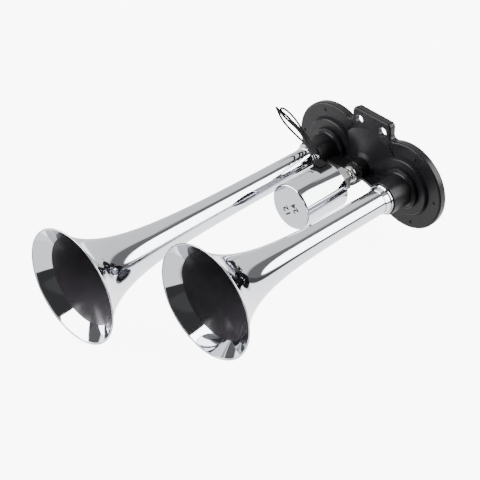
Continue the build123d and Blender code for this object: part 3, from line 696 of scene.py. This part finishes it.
def screws_tree():
    """The rule of one set of screws: a circle of points with a screw on each."""
    tree, write, given = new_tree("screw_circle", SCREW_INPUTS)
    ring = write.node("GeometryNodeMeshCircle", None,
                      {"Vertices": given["Screws"], "Radius": given["Circle"] * MM})
    centre = write.node("ShaderNodeCombineXYZ", None,
                        {0: given["Across"] * MM, 1: 0.0, 2: -AXIS_DROP * MM})
    angle = write.node("ShaderNodeCombineXYZ", None, {0: math.pi / 2, 1: given["Turn"], 2: 0.0})
    spots = write.node("GeometryNodeTransform", None,
                       {"Geometry": ring, "Translation": centre, "Rotation": angle})
    spin = write.node("FunctionNodeRandomValue", {"data_type": "FLOAT"},
                      {2: 0.0, 3: math.pi / 2, "Seed": given["Seed"]}, output=1)
    lean = write.node("ShaderNodeCombineXYZ", None, {0: 0.0, 1: spin, 2: 0.0})
    set_out = write.node("GeometryNodeInstanceOnPoints", None,
                         {"Points": spots, "Instance": given["Geometry"], "Rotation": lean})
    close_tree(write, set_out, given)
    return tree


SCREWS = screws_tree()
sets = []
for across, angle, seed in ((LONG_X, math.pi, 4), (SHORT_X, 0.0, 7)):
    sets.append(plain_mesh("screws", SCREWS, {"Across": across, "Turn": angle, "Seed": seed},
                           STEEL, base=screw_mesh()))
screws = join("cover_screws_set", sets)
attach(screws, HORN)
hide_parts("cover_screws")
print("screws faces:", len(screws.data.polygons))

# %% [markdown]
# A small compression spring between plunger and core holds the valve shut. A spring is a circle
# swept along a helix, which is a rule with five numbers, so it has a tree as well. When the
# plunger is drawn in, the real spring gets shorter by the plunger's travel; here it is made once,
# at the length of the CAD node's box.

# %% Plunger spring
WIRE_SIDES = 12
SPRING_INPUTS = {"Coil radius": 2.9, "Wire radius": 0.33, "Turns": 5.0, "Start": 0.0,
                 "Length": 1.0, "Segments": 36}


def spring_tree():
    """The rule of a spring: a round wire swept along a helix."""
    tree, write, given = new_tree("spring", SPRING_INPUTS)
    helix = write.node("GeometryNodeCurveSpiral", None, {
        "Resolution": given["Segments"], "Rotations": given["Turns"],
        "Start Radius": given["Coil radius"] * MM, "End Radius": given["Coil radius"] * MM,
        "Height": given["Length"] - given["Wire radius"] * (2 * MM)})
    wire_section = write.node("GeometryNodeCurvePrimitiveCircle", {"mode": "RADIUS"},
                              {"Resolution": WIRE_SIDES, "Radius": given["Wire radius"] * MM})
    tube = write.node("GeometryNodeCurveToMesh", None,
                      {"Curve": helix, "Profile Curve": wire_section, "Fill Caps": True})
    centre = write.node("ShaderNodeCombineXYZ", None, {
        0: 0.0, 1: given["Start"] + given["Wire radius"] * MM, 2: (PORT_UP - AXIS_DROP) * MM})
    placed = write.node("GeometryNodeTransform", None, {
        "Geometry": tube, "Translation": centre, "Rotation": (-math.pi / 2, 0.0, 0.0)})
    close_tree(write, write.node("GeometryNodeSetShadeSmooth", None, {"Geometry": placed}), given)
    return tree


front_corner, rear_corner = (corner[1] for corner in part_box("plunger_spring"))
spring_length = rear_corner - front_corner
spring = plain_mesh("spring_wound", spring_tree(),
                    {"Start": front_corner, "Length": spring_length}, STEEL)
outward(spring)
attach(spring, HORN)
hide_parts("plunger_spring")
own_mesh(spring)
print("spring length", round(spring_length, 4), "faces:", len(spring.data.polygons))

# %% [markdown]
# The coil comes for two supplies, so its two voltages are printed on the can's end, as bare
# numbers. The part was held at a slant when it was printed. Each number is made into a mesh first,
# and then turned and laid on the end, a hair proud of it as ink is.

# %% The two numbers on the can's end
INK_DEPTH = 0.03
STROKE_SPREAD = 0.028  # thickens the strokes, in parts of the type's own size
DIGIT_HEIGHT = 7.4
PRINT_ANGLE = 131.0    # degrees
# Each number's text, place across and up from the can's axis, and width.
NUMBERS = (("12", -4.4, -5.6, 8.4), ("24", 5.6, 1.3, 9.2))


def printed(text, across, up, width):
    """A number in ink, centred on a place of the can's end and turned by the print's angle."""
    curve = bpy.data.curves.new("print_" + text, "FONT")
    curve.body = text
    curve.extrude = 0.5        # gives it two sides; the ink's own depth is set below
    curve.offset = STROKE_SPREAD
    curve.resolution_u = 4
    source = add("print_" + text, curve)
    graph = bpy.context.evaluated_depsgraph_get()
    mesh = bpy.data.meshes.new_from_object(source.evaluated_get(graph))
    bpy.data.objects.remove(source)
    xs = [point.co.x for point in mesh.vertices]
    ys = [point.co.y for point in mesh.vertices]
    angle = math.radians(PRINT_ANGLE)
    for point in mesh.vertices:
        side = ((point.co.x - min(xs)) / (max(xs) - min(xs)) - 0.5) * width
        rise = ((point.co.y - min(ys)) / (max(ys) - min(ys)) - 0.5) * DIGIT_HEIGHT
        point.co = at(across + side * math.cos(angle) - rise * math.sin(angle),
                      PORT_UP + up + side * math.sin(angle) + rise * math.cos(angle),
                      CAN_END + INK_DEPTH * (1 if point.co.z > 0 else -1))
    work = bmesh.new()
    work.from_mesh(mesh)
    bmesh.ops.remove_doubles(work, verts=work.verts, dist=WELD)
    bmesh.ops.recalc_face_normals(work, faces=work.faces)
    work.to_mesh(mesh)
    work.free()
    mesh.materials.clear()
    mesh.materials.append(INK)
    piece = add("number_" + text, mesh)
    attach(piece, HORN)
    print("number", text, "faces:", len(mesh.polygons))


for text, across, rise, width in NUMBERS:
    printed(text, across, rise, width)

# %% [markdown]
# A product table has one large sheet of pale paper that glows evenly, and the same paper stands
# round it, so that every view has a plain pale ground. Both are left out of the reflections: the
# room below gives chrome its lower half instead, because a paper that is bright enough to look
# pale would also wash out the trumpets' undersides.

# %% Floor
FLOOR_TOP = -99.7 * MM
FLOOR_HALF = 3.0
FLOOR_GLOW = 8.5
floor_mesh = bpy.data.meshes.new("floor")
floor_mesh.from_pydata([
    (-FLOOR_HALF, -FLOOR_HALF, FLOOR_TOP), (FLOOR_HALF, -FLOOR_HALF, FLOOR_TOP),
    (FLOOR_HALF, FLOOR_HALF, FLOOR_TOP), (-FLOOR_HALF, FLOOR_HALF, FLOOR_TOP),
], [], [(0, 1, 2, 3)])
floor = add("floor", floor_mesh)
floor_finish, write, shader, place = finish("floor_paper")
grain = noise(write, place, 6.0)
wire(write, shader, "Emission Color", tint(write, grain, (0.98, 0.98, 0.98), (1.0, 1.0, 1.0)))
shader.inputs["Emission Strength"].default_value = FLOOR_GLOW
shader.inputs["Base Color"].default_value = (0.3, 0.3, 0.3, 1.0)
shader.inputs["Roughness"].default_value = 0.9
floor_mesh.materials.append(floor_finish)
floor.visible_glossy = False
floor.visible_diffuse = False
floor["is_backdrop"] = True

BACKDROP_RADIUS, BACKDROP_HEIGHT, BACKDROP_SIDES = 2.9, 1.8, 48
corners = []
for level in (FLOOR_TOP, BACKDROP_HEIGHT):
    for number in range(BACKDROP_SIDES):
        angle = 2 * math.pi * number / BACKDROP_SIDES
        corners.append((BACKDROP_RADIUS * math.cos(angle),
                        BACKDROP_RADIUS * math.sin(angle), level))
walls = []
for number in range(BACKDROP_SIDES):
    after = (number + 1) % BACKDROP_SIDES
    walls.append((after, number, number + BACKDROP_SIDES, after + BACKDROP_SIDES))
backdrop_mesh = bpy.data.meshes.new("backdrop")
backdrop_mesh.from_pydata(corners, [], walls)
backdrop_mesh.materials.append(floor_finish)
backdrop = add("backdrop", backdrop_mesh)
backdrop.visible_glossy = False
backdrop.visible_diffuse = False
backdrop.visible_shadow = False
backdrop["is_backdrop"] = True
print("floor at", FLOOR_TOP, "backdrop sides:", len(walls))

# %% [markdown]
# Chrome has no look of its own: it shows the room. The room is written as patches on a sphere:
# each has a brightness, a span of compass turns and a span of heights, in degrees. A window at the
# right behind, a dark gap beside it and a pale wall at the left give the trumpets their streaks. A
# dark front, a pale table below it and a window at the front left shape the insides of the bells.

# %% Room
BEHIND, AHEAD = "behind", "ahead"
PATCHES = (
    # name, brightness, measured from, turn from, to, height from, to, softness, rise per turn
    ("table", 3.45, BEHIND, -190, 190, -95, -3, 3, 0),
    ("pale wall", 1.45, BEHIND, -78, 4, -16, 64, 4, 0),
    ("dark gap", 0.26, BEHIND, -1, 24, 1, 80, 5, 0),
    ("gap's top", 0.26, BEHIND, -12, 10, 49, 80, 6, 0),
    ("right window", 13.0, BEHIND, 22, 70, 7, 52, 3, 0),
    ("skirting", 0.12, BEHIND, 0, 70, -6, 3, 2, 0),
    ("far left table", 1.4, AHEAD, -140, -88, -80, -16, 3, 0),
    ("dark front", 0.064, AHEAD, -8, 74, -19, 84, 3, 0),
    ("front haze", 0.10, AHEAD, 26, 56, -2, 34, 5, 0),
    ("front table", 1.75, AHEAD, -30, 52, -80, -19, 3, 0),
    ("left front table", 2.0, AHEAD, -60, 0, -80, -25, 3, 0),
    ("right screen", 0.12, AHEAD, 51, 106, -80, 66, 3, 0),
    ("upper left", 0.36, AHEAD, -75, -15, 42, 62, 3, 0),
    ("left pillar", 0.14, AHEAD, -78, -60, 14, 52, 3, 0),
    ("left window", 15.0, AHEAD, -62, -8, 5, 32, 1.5, 0.42),
    ("left lower window", 8.0, AHEAD, -60, -45, -18, 6, 2, 0),
    ("left corner", 0.2, AHEAD, -90, -62, -12, 15, 3, 0),
)
AMBIENT = 0.6
world = bpy.data.worlds.new("studio")
bpy.context.scene.world = world
world.use_nodes = True
write = Writer(world.node_tree)
look = write.node("ShaderNodeTexCoord", output="Generated")
parts = write.raw("ShaderNodeSeparateXYZ", None, {0: look})
east, north, rise = [Value(write, parts.outputs[number]) for number in range(3)]
DEGREES = 180 / math.pi
turn = {AHEAD: east.do("ARCTAN2", -north) * DEGREES, BEHIND: east.do("ARCTAN2", north) * DEGREES}
height = rise.do("ARCSINE") * DEGREES


def span(value, low, high, soft):
    """1 between two limits and 0 outside, with soft edges."""
    above = ((value - low) / soft + 0.5).do("MAXIMUM", 0.0).do("MINIMUM", 1.0)
    below = ((high - value) / soft + 0.5).do("MAXIMUM", 0.0).do("MINIMUM", 1.0)
    return above * below


light = AMBIENT
for name, level, side, start, end, low, high, soft, slant in PATCHES:
    level_line = height - (turn[side] - start) * slant if slant else height
    share = span(turn[side], start, end, soft) * span(level_line, low, high, soft)
    light = light * (1 - share) + level * share
background = world.node_tree.nodes["Background"]
background.inputs["Strength"].default_value = 1.0
wire(write, background, "Color", light)
print("room patches:", len(PATCHES), "nodes:", len(world.node_tree.nodes))

# %% [markdown]
# One soft box hangs above and behind the left side. The room alone would light the plastic evenly
# from all sides; the box gives its steps and rounds a lit side and a shaded one. It is large and
# weak, so that no hard shadow falls on the paper.

# %% Soft key light
KEY_SIZE, KEY_ENERGY = 0.7, 2.0
KEY_PLACE, KEY_TURN = (-0.5, 0.2, 1.3), (-0.15, -0.35, 0.0)
key_data = bpy.data.lights.new("key", "AREA")
key_data.size = KEY_SIZE
key_data.energy = KEY_ENERGY
key = add("key", key_data)
key.location = KEY_PLACE
key.rotation_euler = KEY_TURN
print("key light energy", key_data.energy)

# %% [markdown]
# Dressing the model must not make it larger. The box of everything that is visible now is printed.

low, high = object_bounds()
print("visual box:", [round(v, 4) for v in (*low, *high)])
